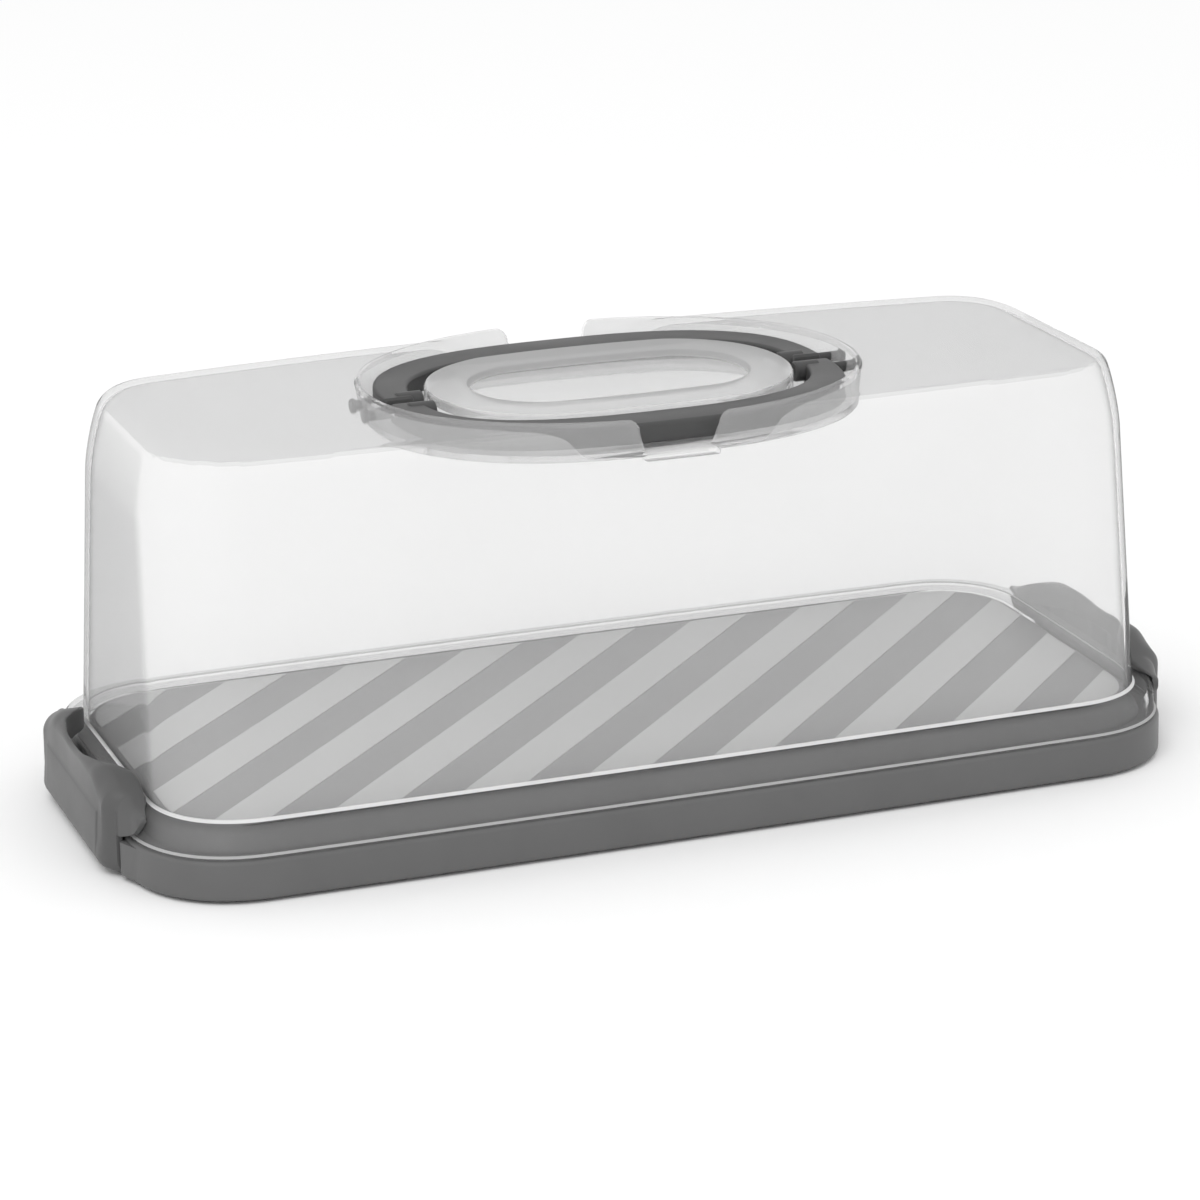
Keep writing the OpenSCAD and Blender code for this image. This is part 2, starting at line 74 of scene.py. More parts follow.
# Feet: direction and distance from the centre of the corner's arc
FOOT_TURN, FOOT_REACH = math.radians(63.8), 30.6
FOOT_X = TRAY_A - CORNER_R + FOOT_REACH * math.cos(FOOT_TURN)
FOOT_Y = CORNER_Y + FOOT_REACH * math.sin(FOOT_TURN)
FOOT_R, FOOT_BEVEL, STEM_R, SOCKET_R, SOCKET_H, BOSS_R = 5.0, 0.4, 2.0, 2.06, 5.4, 6.0

# Lid's wall at the step: half sizes, corner radius and bow, then what each of them
# loses (the bow gains) up to the top
DOME_A, DOME_B, DOME_R, DOME_BOW = 170.1, 69.0, 30.5, 1.4
TAPER_A, TAPER_B, TAPER_R, TAPER_BOW = 2.71, 16.2, 3.0, 6.2
ROLL_H, ROLL_IN, ROLL_POWER = 23.4, 5.23, 1.45      # roll of the ends into the top
CROWN = 0.87                                        # rise of the top to its middle
LID_WALL = 2.0
EDGE_R = 3.6                        # rounding of the upper edges
EDGE_IN, EDGE_CUT = 1.4, 3.2        # its shares at the ends and at the corners
FOOT_FILLET = 1.0                   # hollow rounding where the wall meets its step
FLANGE_EDGE, FLANGE_IN, WALL_IN = 2.2, 4.3, 10.8

# Recess, island and pan in the lid's top: half sizes
RECESS_A, RECESS_B, RECESS_LEAN = 82.5, 62.0, 2.4
RIM_POWER, BASIN_POWER = 2.15, 2.4  # squareness of the oval at the rim and the floor
ISLAND_A, ISLAND_B, ISLAND_WALL = 61.5, 39.8, 2.0
PAN_A, PAN_B = 47.4, 24.6
SILL_HALF, SILL_Y = 12.6, (54.0, 65.3)
NOTCH_HALF, NOTCH_LEAN, NOTCH_EASE, NOTCH_NECK = 11.5, 2.2, 4.2, 0.62
NOTCH_Y = (50.0, 74.0)
BORE_X, BORE_R = (67.5, 97.5), 1.86

# Handles: half sizes of the bar and of its hole, squareness, height, roundings
HANDLE_SIZE, HOLE_SIZE, HANDLE_POWER = (76.5, 55.5), (66.1, 41.5), 2.7
HANDLE_H, HANDLE_EDGE, TAIL_R = 6.6, 1.3, 4.2
# Pin, its head and the boss inside: reach along X, radius, bevel
PIN_PARTS = (((73.5, 86.5), 1.8, 0.0), ((84.9, 86.5), 2.5, 0.4),
             ((62.4, 71.3), 3.4, 0.5))

# Clips: half width over the lobes and between them, heights, wall, roundings
CLIP_END, CLIP_HALF, CLIP_TOP, HOOK_Z = 54.1, 42.0, 32.5, 23.9
CLIP_WALL, CLIP_FOOT, TOE_R, BROW_R, LOBE_R = 2.0, 1.5, 4.6, 4.4, 7.0
# How far a clip stands out from the tray: body, upper face, seam and lobe
CLIP_OUT, CLIP_FACE, SEAM_OUT, LOBE_OUT = 7.4, 6.2, 2.4, 0.8
GAP_DIP, LOBE_DROP = 2.0, 8.2       # how far its top falls in the middle and at the tips
HOOK_REACH, HOOK_RETREAT = 7.0, 5.8 # reach over the lid's flange, less at the tips
LIP_W, LOBE_WALL = 1.9, 1.7
PAD_HALF, PAD_Z, PAD_STEP = 33.0, 20.0, 0.4     # thumb pad: half width, top, relief
HINGE_IN, HINGE_Y, HINGE_HALF = 176.2, (32.6, 41.6), 2.2
HINGE_PIN_Y, HINGE_PIN_R = (37.0, 45.4), 1.4
# What is cut away under a clip's lobes, as (y, z)
CLIP_UNDER = [(CLIP_HALF, -3), (CLIP_HALF, 14.7), (43.5, 14.8), (45, 15.2), (46.5, 15.7),
              (48, 16.3), (49.3, 16.9), (50.5, 17.6), (51.6, 18.5), (52.6, 19.6),
              (53.4, 20.8), (53.9, 22), (54.4, 23.5), (58, 27), (58, -3)]


def lerp(a, b, t):
    return a + (b - a) * t


def ease(t):
    k = min(1.0, max(0.0, t))
    return k * k * (3 - 2 * k)


def span(side, low, high):
    """Ends of a length that lies on one side, 1 or -1, the lesser first."""
    return sorted((side * low, side * high))


# ------------------------------------------------------------------ meshes

def mesh_object(name, verts, faces, smooth=True):
    mesh = bpy.data.meshes.new(name)
    mesh.from_pydata((np.asarray(verts) * MM).tolist(), [], faces)
    obj = bpy.data.objects.new(name, mesh)
    SCENE.collection.objects.link(obj)
    bm = bmesh.new()
    bm.from_mesh(mesh)
    bmesh.ops.recalc_face_normals(bm, faces=bm.faces)
    bm.to_mesh(mesh)
    bm.free()
    if smooth:
        mesh.shade_smooth()
    return obj


def loft(name, rings):
    """Skin over closed rings of equal length, capped at both ends."""
    n = len(rings[0])
    verts = np.concatenate([np.asarray(r, float) for r in rings])
    faces = []
    for i in range(len(rings) - 1):
        for j in range(n):
            k = (j + 1) % n
            faces.append((i * n + j, i * n + k, (i + 1) * n + k, (i + 1) * n + j))
    faces.append(tuple(range(n - 1, -1, -1)))
    faces.append(tuple(range((len(rings) - 1) * n, len(rings) * n)))
    return mesh_object(name, verts, faces)


def turned(name, axis, centre, steps, n=48):
    """Round solid about an axis (0, 1 or 2), from (place along it, radius) steps."""
    w = np.linspace(0, 2 * math.pi, n, endpoint=False)
    rings = []
    for place, r in steps:
        ring = [centre[0] + r * np.cos(w), centre[1] + r * np.sin(w)]
        ring.insert(axis, np.full(n, place))
        rings.append(np.stack(ring, 1))
    return loft(name, rings)


def block(name, low, high, bevel=0.0):
    (x0, y0, z0), (x1, y1, z1) = low, high
    verts = [(x, y, z) for x in (x0, x1) for y in (y0, y1) for z in (z0, z1)]
    faces = [(0, 1, 3, 2), (4, 6, 7, 5), (0, 4, 5, 1), (2, 3, 7, 6), (0, 2, 6, 4),
             (1, 5, 7, 3)]
    obj = mesh_object(name, verts, faces, smooth=False)
    if bevel:
        mod = obj.modifiers.new("round", "BEVEL")
        mod.width, mod.segments = bevel * MM, 3
        settle(obj)
    return obj


def settle(obj):
    """Turns an object's modifiers into plain mesh."""
    graph = bpy.context.evaluated_depsgraph_get()
    made = bpy.data.meshes.new_from_object(obj.evaluated_get(graph))
    obj.modifiers.clear()
    obj.data = made


def combine(obj, tools, how):
    """Union, difference or intersection with each tool in turn."""
    for tool in tools:
        mod = obj.modifiers.new("cut", "BOOLEAN")
        mod.operation, mod.solver, mod.object = how, "MANIFOLD", tool
    settle(obj)
    for tool in tools:
        bpy.data.objects.remove(tool)
    return obj


def finish_piece(obj, look, body, nodes, angle=32):
    obj.data.materials.clear()
    obj.data.materials.append(look)
    bm = bmesh.new()
    bm.from_mesh(obj.data)
    bmesh.ops.remove_doubles(bm, verts=bm.verts, dist=0.002 * MM)
    bmesh.ops.dissolve_degenerate(bm, edges=bm.edges, dist=0.001 * MM)
    bm.to_mesh(obj.data)
    bm.free()
    obj.data.shade_smooth()
    obj.data.set_sharp_from_angle(angle=math.radians(angle))
    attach(obj, body)
    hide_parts(*nodes)


# ------------------------------------------------------------------ outlines

def rounded(a, b, r, bow, z):
    """Ring of a rounded rectangle whose long sides bow out; the ring runs once round."""
    quad = [(a, (b - r) * t) for t in np.linspace(0, 1, END_STEPS, endpoint=False)]
    quad += [(a - r + r * math.cos(s) ** SQUARE, b - r + r * math.sin(s) ** SQUARE)
             for s in np.linspace(0, math.pi / 2, CORNER_STEPS, endpoint=False)]
    quad += [((a - r) * (1 - t), b)
             for t in np.linspace(0, 1, SIDE_STEPS, endpoint=False)]
    q = np.array(quad)
    second = np.stack([-q[::-1, 0], q[::-1, 1]], 1)
    top = np.concatenate([q, [[0, b]], second[:-1]])
    ring = np.concatenate([top, [[-a, 0]], np.stack([top[::-1, 0], -top[::-1, 1]], 1)[:-1]])
    x, y = ring[:, 0], ring[:, 1]
    y = y + np.sign(y) * bow * (1 - np.minimum(1, (x / a) ** 2))
    return np.stack([x, y, np.full(len(x), float(z))], 1)


def tray_ring(d, z):
    """Ring that lies d inside the tray's edge."""
    return rounded(TRAY_A - d, TRAY_B - d, TRAY_R - d, SIDE_BOW, z)


def oval(a, b, power, z, n=144):
    """Ring of a squared oval; a power of 2 gives an ellipse."""
    w = np.linspace(0, 2 * math.pi, n, endpoint=False)
    c, s = np.cos(w), np.sin(w)
    return np.stack([a * np.sign(c) * np.abs(c) ** (2 / power),
                     b * np.sign(s) * np.abs(s) ** (2 / power),
                     np.full(n, float(z))], 1)


def stadium(a, b, z, n=144):
    """Straight long sides with nearly round ends, as a ring of n points."""
    w = np.linspace(0, 2 * math.pi, n, endpoint=False)
    c, s = np.cos(w), np.sin(w)
    run = (a - 1.08 * b) * np.clip(c * 3.2, -1, 1)
    return np.stack([run + 1.08 * b * np.sign(c) * np.abs(c) ** 0.96,
                     b * np.sign(s) * np.abs(s) ** 0.94, np.full(n, float(z))], 1)


def dome_ring(z, t=0.0, drop=0.0):
    """Outer face of the lid's wall at a height, set t inwards and lowered by drop."""
    u = (z - STEP_Z) / (TOP_Z - STEP_Z)
    k = min(1.0, max(0.0, (z - TOP_Z + ROLL_H) / ROLL_H))
    roll = 1 - (1 - k ** ROLL_POWER) ** (1 / ROLL_POWER)
    edge = min(1.0, max(0.0, (z - TOP_Z + EDGE_R) / EDGE_R))
    soft = EDGE_R * (1 - math.sqrt(1 - edge * edge))
    a = DOME_A - TAPER_A * u - ROLL_IN * roll - EDGE_IN * soft - t
    b = DOME_B - TAPER_B * u - soft - t
    r = DOME_R - TAPER_R * u - EDGE_CUT * soft - t
    ring = rounded(a, b, r, DOME_BOW + TAPER_BOW * u, z)
    ring[:, 2] += CROWN * k ** 2 * (1 - (ring[:, 0] / a) ** 2) - drop
    return ring


def dome(name, z0, t=0.0, drop=0.0, foot=0.0):
    """Wall and top of the lid as a solid, t inwards, with a hollow rounding at its foot."""
    levels = [40, 60, 80, 100, TOP_Z - ROLL_H]
    levels += [TOP_Z - ROLL_H * (1 - k) ** 2.2 for k in np.linspace(0, 1, 30)[1:]]
    rings = [dome_ring(z0, t - foot)]
    rings += [dome_ring(STEP_Z + foot * (1 - math.cos(w)), t - foot * (1 - math.sin(w)))
              for w in np.linspace(0, math.pi / 2, 7)]
    rings += [dome_ring(z, t, drop if z > 100 else 0.0) for z in levels]
    edge = rings[-1]
    for share in (0.985, 0.95, 0.88, 0.75, 0.55, 0.3, 0.08):    # rings across the top
        ring = edge * [share, share, 1]
        ring[:, 2] = TOP_Z + CROWN * (1 - (ring[:, 0] / edge[:, 0].max()) ** 2) - drop
        rings.append(ring)
    return loft(name, rings)


# ------------------------------------------------------------------ materials

def node_group(name, inputs, outputs, kind="ShaderNodeTree"):
    """Empty group: inputs are (name, kind, default or None), outputs (name, kind)."""
    tree = bpy.data.node_groups.new(name, kind)
    for label, socket_kind, value in inputs:
        socket = tree.interface.new_socket(name=label, in_out="INPUT",
                                           socket_type="NodeSocket" + socket_kind)
        if value is not None:
            socket.default_value = value
    for label, socket_kind in outputs:
        tree.interface.new_socket(name=label, in_out="OUTPUT",
                                  socket_type="NodeSocket" + socket_kind)
    return tree, tree.nodes.new("NodeGroupInput"), tree.nodes.new("NodeGroupOutput")


def shader_node(tree, kind, **values):
    """Adds a node. p_operation sets its operation, i1 its second socket, and any other
    name the socket of that name, to a value or to a (node, output name) link."""
    node = tree.nodes.new("ShaderNode" + kind)
    for key, value in values.items():
        if key.startswith("p_"):
            setattr(node, key[2:], value)
            continue
        socket = node.inputs[int(key[1:])] if key[0] == "i" and key[1:].isdigit() \
            else node.inputs[key.replace("_", " ")]
        if isinstance(value, tuple) and len(value) == 2 and hasattr(value[0], "outputs"):
            tree.links.new(value[0].outputs[value[1]], socket)
        else:
            socket.default_value = value
    return node


def use_group(tree, group, **values):
    """Puts a group in a material and sets its inputs."""
    node = tree.nodes.new("ShaderNodeGroup")
    node.node_tree = group
    for key, value in values.items():
        node.inputs[key.replace("_", " ")].default_value = value
    return node


def moulded_group():
    """Moulded plastic: faint mottle of colour, wear of the gloss and a fine grain."""
    tree, src, out = node_group(
        "MouldedPlastic",
        [("Colour", "Color", (0.5, 0.5, 0.5, 1)), ("Mottle", "Float", 0.06),
         ("Roughness", "Float", 0.4), ("Wear", "Float", 0.1),
         ("Grain scale", "Float", 900.0)],
        [("Colour", "Color"), ("Roughness", "Float"), ("Height", "Float")])
    place = shader_node(tree, "TexCoord")
    cloud = shader_node(tree, "TexNoise", Vector=(place, "Object"), Scale=26.0,
                        Detail=4.0, Roughness=0.6)
    grain = shader_node(tree, "TexNoise", Vector=(place, "Object"), Detail=2.0)
    tree.links.new(src.outputs["Grain scale"], grain.inputs["Scale"])
    swing = shader_node(tree, "MapRange", Value=(cloud, "Fac"), i1=0.3, i2=0.7,
                        i3=-1.0, i4=1.0)
    tone = shader_node(tree, "Math", p_operation="MULTIPLY", i0=(swing, "Result"))
    tree.links.new(src.outputs["Mottle"], tone.inputs[1])
    gain = shader_node(tree, "Math", p_operation="ADD", i0=(tone, "Value"), i1=1.0)
    colour = shader_node(tree, "VectorMath", p_operation="SCALE")
    tree.links.new(src.outputs["Colour"], colour.inputs[0])
    tree.links.new(gain.outputs["Value"], colour.inputs["Scale"])
    rub = shader_node(tree, "Math", p_operation="MULTIPLY_ADD", i0=(swing, "Result"))
    tree.links.new(src.outputs["Wear"], rub.inputs[1])
    tree.links.new(src.outputs["Roughness"], rub.inputs[2])
    tree.links.new(colour.outputs["Vector"], out.inputs["Colour"])
    tree.links.new(rub.outputs["Value"], out.inputs["Roughness"])
    tree.links.new(grain.outputs["Fac"], out.inputs["Height"])
    return tree


MOULDED = moulded_group()


def material(name):
    made = bpy.data.materials.new(name)
    made.use_nodes = True
    made.node_tree.nodes.clear()
    tree = made.node_tree
    bsdf = tree.nodes.new("ShaderNodeBsdfPrincipled")
    out = tree.nodes.new("ShaderNodeOutputMaterial")
    tree.links.new(bsdf.outputs["BSDF"], out.inputs["Surface"])
    return made, tree, bsdf


def plastic(name, grey, roughness, mottle=0.05):
    made, tree, bsdf = material(name)
    group = use_group(tree, MOULDED, Colour=(grey, grey, grey, 1), Mottle=mottle,
                      Roughness=roughness, Wear=0.06, Grain_scale=900.0)
    tree.links.new(group.outputs["Colour"], bsdf.inputs["Base Color"])
    tree.links.new(group.outputs["Roughness"], bsdf.inputs["Roughness"])
    bsdf.inputs["Specular IOR Level"].default_value = 0.2
    relief = shader_node(tree, "Bump", Strength=0.06, Distance=0.0003,
                         Height=(group, "Height"))
    tree.links.new(relief.outputs["Normal"], bsdf.inputs["Normal"])
    return made


def scuffed_group():
    """Handled clear plastic: cloudy rub marks and fine scratches along X."""
    tree, src, out = node_group(
        "ScuffedClear",
        [("Smooth", "Float", 0.02), ("Rubbed", "Float", 0.09), ("Scratches", "Float", 0.5)],
        [("Roughness", "Float"), ("Height", "Float")])
    place = shader_node(tree, "TexCoord")
    cloud = shader_node(tree, "TexNoise", Vector=(place, "Object"), Scale=45.0,
                        Detail=6.0, Roughness=0.7)
    rub = shader_node(tree, "MapRange", Value=(cloud, "Fac"), i1=0.35, i2=0.75)
    tree.links.new(src.outputs["Smooth"], rub.inputs[3])
    tree.links.new(src.outputs["Rubbed"], rub.inputs[4])
    stretch = shader_node(tree, "Mapping", Vector=(place, "Object"))
    stretch.inputs["Scale"].default_value = (40.0, 900.0, 300.0)
    stretch.inputs["Rotation"].default_value = (0.0, 0.0, 0.12)
    lines = shader_node(tree, "TexNoise", Vector=(stretch, "Vector"), Scale=1.0, Detail=3.0)
    cut = shader_node(tree, "MapRange", Value=(lines, "Fac"), i1=0.55, i2=0.7)
    depth = shader_node(tree, "Math", p_operation="MULTIPLY", i0=(cut, "Result"))
    tree.links.new(src.outputs["Scratches"], depth.inputs[1])
    tree.links.new(rub.outputs["Result"], out.inputs["Roughness"])
    tree.links.new(depth.outputs["Value"], out.inputs["Height"])
    return tree


SCUFFED = scuffed_group()


CLEAR_IOR = 1.03        # low, so that the thin walls bend and mirror as little as seen
SHADOW_SHARE = 0.12     # how solid the lid is to the light that casts shadows


def clear_plastic(name, tone, clear, smooth, rubbed, scratches, edge):
    """Clear moulding with a veil, whose tone is multiplied by edge where it is seen edge on,
    a painted shade for the dark lines along its walls; it lets most of the light through to
    the tray."""
    made, tree, bsdf = material(name)
    # painted shade: the veil's tone drops by the edge share where the face is seen edge on
    facing = shader_node(tree, "LayerWeight", Blend=0.5)
    shade = shader_node(tree, "MapRange", Value=(facing, "Facing"), i1=0.62, i2=1.0,
                        i3=tone, i4=tone * edge)
    tree.links.new(shade.outputs["Result"], bsdf.inputs["Base Color"])
    bsdf.inputs["Transmission Weight"].default_value = clear
    bsdf.inputs["IOR"].default_value = CLEAR_IOR
    group = use_group(tree, SCUFFED, Smooth=smooth, Rubbed=rubbed, Scratches=scratches)
    tree.links.new(group.outputs["Roughness"], bsdf.inputs["Roughness"])
    relief = shader_node(tree, "Bump", Strength=0.12, Distance=0.0002,
                         Height=(group, "Height"))
    tree.links.new(relief.outputs["Normal"], bsdf.inputs["Normal"])
    rays = shader_node(tree, "LightPath")
    solid = shader_node(tree, "MapRange", Value=(rays, "Is Shadow Ray"), i1=0.0, i2=1.0,
                        i3=1.0, i4=SHADOW_SHARE)
    tree.links.new(solid.outputs["Result"], bsdf.inputs["Alpha"])
    return made


TRAY_GREY = plastic("tray_plastic", 0.13, 0.40)
CLIP_GREY = plastic("clip_plastic", 0.1, 0.38)
HANDLE_GREY = plastic("handle_plastic", 0.068, 0.42)
STRIPE_GREY = plastic("stripe_print", 0.41, 0.45, mottle=0.03)
FOOT_DARK = plastic("foot_rubber", 0.03, 0.7, mottle=0.1)
# The last figure of each clear look is the share of tone left by the painted edge shade
CLEAR = clear_plastic("lid_clear", 0.95, 0.85, 0.01, 0.05, 0.3, 0.04)
HAZY = clear_plastic("lid_hazy", 0.77, 0.78, 0.02, 0.08, 1.0, 0.9)
FROSTED = clear_plastic("lid_frosted", 0.62, 0.40, 0.38, 0.5, 0.1, 0.9)
FLANGE = clear_plastic("lid_flange", 0.80, 0.93, 0.06, 0.15, 0.3, 0.8)
# painted highlight: pale look for the rounding at the foot of the lid's wall
PAINTED_GLINT = clear_plastic("lid_painted_glint", 0.92, 0.25, 0.2, 0.3, 0.1, 0.95)


# ------------------------------------------------------------------ tray

def make_tray():
    """Profiles are (distance inside the tray's edge, height)."""
    skirt = [(0.9, FOOT_H), (0.35, FOOT_H + 0.2), (0.05, FOOT_H + 0.7), (0, FOOT_H + 1.4),
             (0.2, LEDGE_Z - 1.5), (0.3, LEDGE_Z - 0.95), (0.6, LEDGE_Z - 0.45),
             (1.05, LEDGE_Z - 0.12), (1.6, LEDGE_Z)]
    body = loft("tray", [tray_ring(d, z) for d, z in skirt])
    rise = [(6.6, LEDGE_Z - 1), (6.75, LEDGE_Z + 0.25), (7.1, LEDGE_Z + 1)]
    rise += [(lerp(7.1, 11.2, t), lerp(LEDGE_Z + 1, FLOOR_Z - 1.4, t))
             for t in (0.33, 0.66, 1)]
    rise += [(11.6, FLOOR_Z - 0.7), (12.1, FLOOR_Z - 0.2), (12.9, FLOOR_Z)]
    floor = loft("floor", [tray_ring(d, z) for d, z in rise])
    hollow = loft("hollow", [tray_ring(TRAY_WALL, z)
                             for z in (FOOT_H - 1, LEDGE_Z - TRAY_WALL)])
    under = loft("under", [tray_ring(9.2 + d, z) for d, z in
                           ((0, LEDGE_Z - 3), (0, LEDGE_Z - 1.6), (4, FLOOR_Z - 3),
                            (5.6, FLOOR_Z - TRAY_WALL))])
    combine(body, [floor], "UNION")
    windows = []
    for s in (-1, 1):
        x0, x1 = span(s, *WINDOW_X)
        windows.append(block("window", (x0, -WINDOW_HALF, FOOT_H - 1),
                             (x1, WINDOW_HALF, LEDGE_Z - TRAY_WALL)))
    combine(body, [hollow, under] + windows, "DIFFERENCE")
    extra, sockets = [], []
    for sx, sy in CORNERS:
        x0, x1 = span(sx, *CHEEK_X)
        y0, y1 = span(sy, WINDOW_HALF, CHEEK_END)
        extra.append(block("cheek", (x0, y0, FOOT_H + 0.6), (x1, y1, LEDGE_Z - 1)))
        extra.append(loft("band", [[(sx * x, sy * y, z) for x, y in BAND]
                                   for z in BAND_Z]))
        place = sx * FOOT_X, sy * FOOT_Y
        extra.append(turned("boss", 2, place, [(FOOT_H + 1, BOSS_R),
                                               (LEDGE_Z - 1, BOSS_R)]))
        sockets.append(turned("socket", 2, place, [(FOOT_H, SOCKET_R),
                                                   (FOOT_H + SOCKET_H, SOCKET_R)]))
    combine(body, extra, "UNION")
    combine(body, sockets, "DIFFERENCE")
    finish_piece(body, TRAY_GREY, "tray", ["tray"])


# ------------------------------------------------------------------ lid

def recess_size(z):
    """Half sizes and squareness of the recess at a height."""
    u = (RIM_Z - z) / (RIM_Z - BASIN_Z)
    return (RECESS_A - RECESS_LEAN * u, RECESS_B - RECESS_LEAN * u,
            lerp(RIM_POWER, BASIN_POWER, u))


def recess_ring(z, t):
    """Ring of the recess at a height, moved out by t."""
    a, b, power = recess_size(z)
    return oval(a + t, b + t, power, z)


def make_lid():
    shell = dome("lid", STEP_Z - LID_WALL, foot=FOOT_FILLET)
    skirt = [(1.9, LID_Z), (1.3, LID_Z + 0.1), (1.15, LID_Z + 0.5), (1.3, LID_Z + 0.9),
             (1.8, LID_Z + 1.2), (2.3, STEP_Z - 2.6)]
    skirt += [(4.5 - FLANGE_EDGE * math.cos(w), STEP_Z - FLANGE_EDGE * (1 - math.sin(w)))
              for w in np.linspace(0.1, math.pi / 2, 7)]
    collar = [recess_ring(BASIN_Z - 2, 0.4), recess_ring(BASIN_Z - 1.6, 1.3),
              recess_ring(BASIN_Z - 0.8, 1.8), recess_ring(TOP_Z - 0.6, 1.8),
              recess_ring(TOP_Z + 0.3, 1.9), recess_ring(RIM_Z - 0.8, 1.8),
              recess_ring(RIM_Z - 0.25, 1.55), recess_ring(RIM_Z, 1.0)]
    sills = []
    for s in (-1, 1):
        y0, y1 = span(s, *SILL_Y)
        sills.append(block("sill", (-SILL_HALF, y0, BASIN_Z - 2), (SILL_HALF, y1, BASIN_Z),
                           0.7))
    inner = dome("inner", STEP_Z - 3, t=LID_WALL, drop=LID_WALL)
    combine(shell, [inner], "DIFFERENCE")
    flange = loft("flange", [tray_ring(d, z) for d, z in skirt])
    hollows = [loft("a", [tray_ring(FLANGE_IN, z) for z in (LID_Z - 1, STEP_Z - 2)]),
               loft("b", [tray_ring(WALL_IN, z) for z in (LID_Z, STEP_Z + 1)])]
    combine(flange, hollows, "DIFFERENCE")
    combine(shell, [flange, loft("collar", collar)] + sills, "UNION")
    island = [stadium(ISLAND_A - d, ISLAND_B - d, z) for d, z in
              ((0, BASIN_Z - 2), (0, ISLAND_Z - 1.2), (0.15, ISLAND_Z - 0.6),
               (0.5, ISLAND_Z - 0.2), (1.0, ISLAND_Z))]
    well = [recess_ring(BASIN_Z, -0.9), recess_ring(BASIN_Z + 0.3, -0.25),
            recess_ring(BASIN_Z + 0.9, 0), recess_ring(RIM_Z - 0.5, 0),
            recess_ring(RIM_Z - 0.12, 0.25), recess_ring(RIM_Z + 0.6, 1.1)]
    space = combine(loft("well", well), [loft("island", island)], "DIFFERENCE")
    combine(shell, [loft("island", island)], "UNION")
    pan = [stadium(PAN_A - d, PAN_B - d, z) for d, z in
           ((1.2, ISLAND_Z - 2.4), (0.6, ISLAND_Z - 2.25), (0.2, ISLAND_Z - 1.8),
            (0, ISLAND_Z - 0.7), (-0.25, ISLAND_Z - 0.2), (-1.0, ISLAND_Z + 0.4))]
    under = [stadium(ISLAND_A - ISLAND_WALL, ISLAND_B - ISLAND_WALL, z)
             for z in (BASIN_Z - 4, ISLAND_Z - 4.4)]
    cuts = [space, loft("pan", pan), loft("under", under)]
    cuts += [notch(s) for s in (-1, 1)]
    for sx, sy in CORNERS:
        cuts.append(turned("bore", 0, (sy * PIVOT_Y, PIVOT_Z),
                           [(x, BORE_R) for x in span(sx, *BORE_X)]))
    combine(shell, cuts, "DIFFERENCE")
    finish_piece(shell, CLEAR, "lid", ["lid"], angle=40)
    frost_lid(shell)


def notch(s):
    """Finger notch in the collar, narrower at the floor, with rounded shoulders."""
    h = RIM_Z - BASIN_Z
    neck = NOTCH_HALF + NOTCH_LEAN
    half = [(lerp(NOTCH_HALF, neck, t), h * NOTCH_NECK * t) for t in (0, 0.5, 1)]
    half += [(neck + NOTCH_EASE * (1 - math.cos(w)),
              h * NOTCH_NECK + (h * (1 - NOTCH_NECK) + 0.1) * math.sin(w))
             for w in np.linspace(0.2, math.pi / 2, 7)]
    half += [(neck + NOTCH_EASE, h + 2)]
    line = half + [(-x, z) for x, z in reversed(half)]
    return loft("notch", [[(x, y, BASIN_Z + z) for x, z in line]
                          for y in span(s, *NOTCH_Y)])


def on_oval(x, y, a, b, power):
    """Below 1 inside a squared oval, 1 on it and above 1 outside."""
    return (abs(x) / a) ** power + (abs(y) / b) ** power


def frost_lid(lid):
    """Hazy top, recess wall and pan, matt pan edge and island border, greyer flange, a
    painted light line on top of the flange's lower bead and a painted highlight on the
    rounding at the wall's foot, by each face's place."""
    looks = (HAZY, FROSTED, FLANGE, PAINTED_GLINT)
    for look in looks:
        lid.data.materials.append(look)
    hazy, frosted, flange, painted_glint = range(1, len(looks) + 1)
    for face in lid.data.polygons:
        x, y, z = face.center / MM
        up = face.normal.z
        flat = abs(up) > 0.8
        in_rim = on_oval(x, y, RECESS_A + 0.7, RECESS_B + 0.7, RIM_POWER) < 1
        collar = BASIN_Z - 2.2 < z < RIM_Z - 0.1 and not flat \
            and abs(on_oval(x, y, *recess_size(z)) - 1) < 0.015
        pan = -2.6 < z - ISLAND_Z < -0.05 and abs(x) < PAN_A + 0.6 and abs(y) < PAN_B + 0.6
        if pan and not flat:
            face.material_index = frosted
        elif pan or collar or flat and z > TOP_Z - 3.6 and not in_rim:
            face.material_index = hazy
        elif up > 0.8 and ISLAND_Z - 0.3 < z < TOP_Z and in_rim:
            face.material_index = frosted
        # painted highlight: upward faces of the bead at the flange's lower edge take the
        # frosted look, which shows as a light line
        elif z < LID_Z + 1.2 and up > 0.1:
            face.material_index = frosted
        elif z < STEP_Z + 0.04:
            face.material_index = flange
        # painted highlight: the upward faces of the rounding at the wall's foot take the pale
        # look
        elif z < STEP_Z + FOOT_FILLET and up > 0.1:
            face.material_index = painted_glint


# ------------------------------------------------------------------ handles

